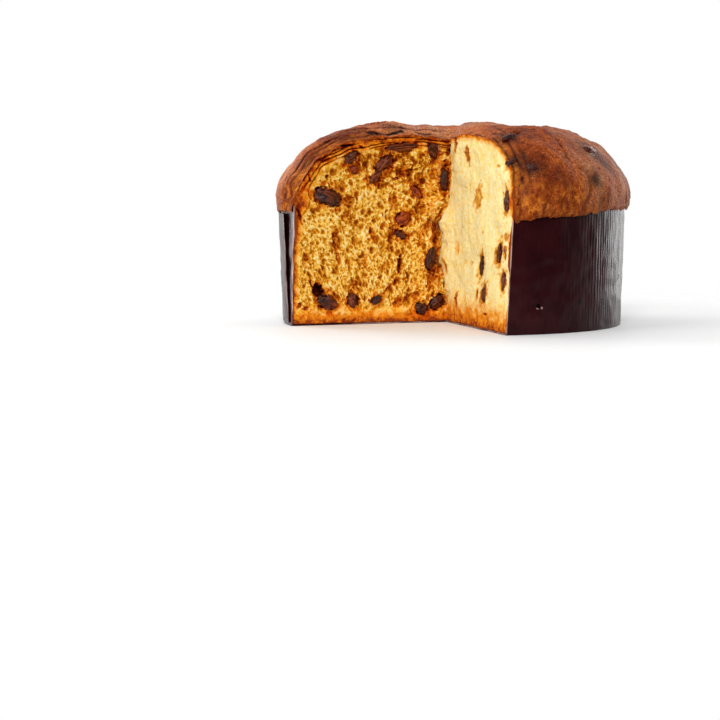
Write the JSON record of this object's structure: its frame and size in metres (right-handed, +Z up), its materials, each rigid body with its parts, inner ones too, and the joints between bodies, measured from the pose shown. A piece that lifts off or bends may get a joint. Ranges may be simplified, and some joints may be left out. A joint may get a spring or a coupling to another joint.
{
  "type": "panettone",
  "caption": "Low, wide panettone with a domed crust in a dark paper baking case, a wedge cut out to show the fruited crumb.",
  "frame": {"origin": "on the surface that the paper case stands on, under the middle of the cut cake's outline", "axes": "+Z up through the crown; the cut-out wedge opens towards -Y, a little to the left (-X)"},
  "size_m": [0.2167, 0.2104, 0.124],
  "materials": {
    "crust": "baked brown crust, dull with a slight sheen; the cut faces are open yellow crumb",
    "paper": "dark brown, finely ribbed baking paper with a waxy sheen",
    "raisin": "wrinkled dark brown fruit, moist and shiny",
    "peel": "translucent orange candied peel"
  },
  "bodies": {
    "root": {"cake_body": "crust", "candied_peel": "peel", "paper_case": "paper", "raisin_crown_1": "raisin", "raisin_crown_2": "raisin", "raisin_crown_3": "raisin", "raisin_crown_4": "raisin", "raisin_left_1": "raisin", "raisin_left_10": "raisin", "raisin_left_11": "raisin", "raisin_left_12": "raisin", "raisin_left_13": "raisin", "raisin_left_14": "raisin", "raisin_left_15": "raisin", "raisin_left_16": "raisin", "raisin_left_17": "raisin", "raisin_left_2": "raisin", "raisin_left_3": "raisin", "raisin_left_4": "raisin", "raisin_left_5": "raisin", "raisin_left_6": "raisin", "raisin_left_7": "raisin", "raisin_left_8": "raisin", "raisin_left_9": "raisin", "raisin_right_1": "raisin", "raisin_right_2": "raisin", "raisin_right_3": "raisin", "raisin_right_4": "raisin", "raisin_right_5": "raisin"}
  },
  "joints": []
}
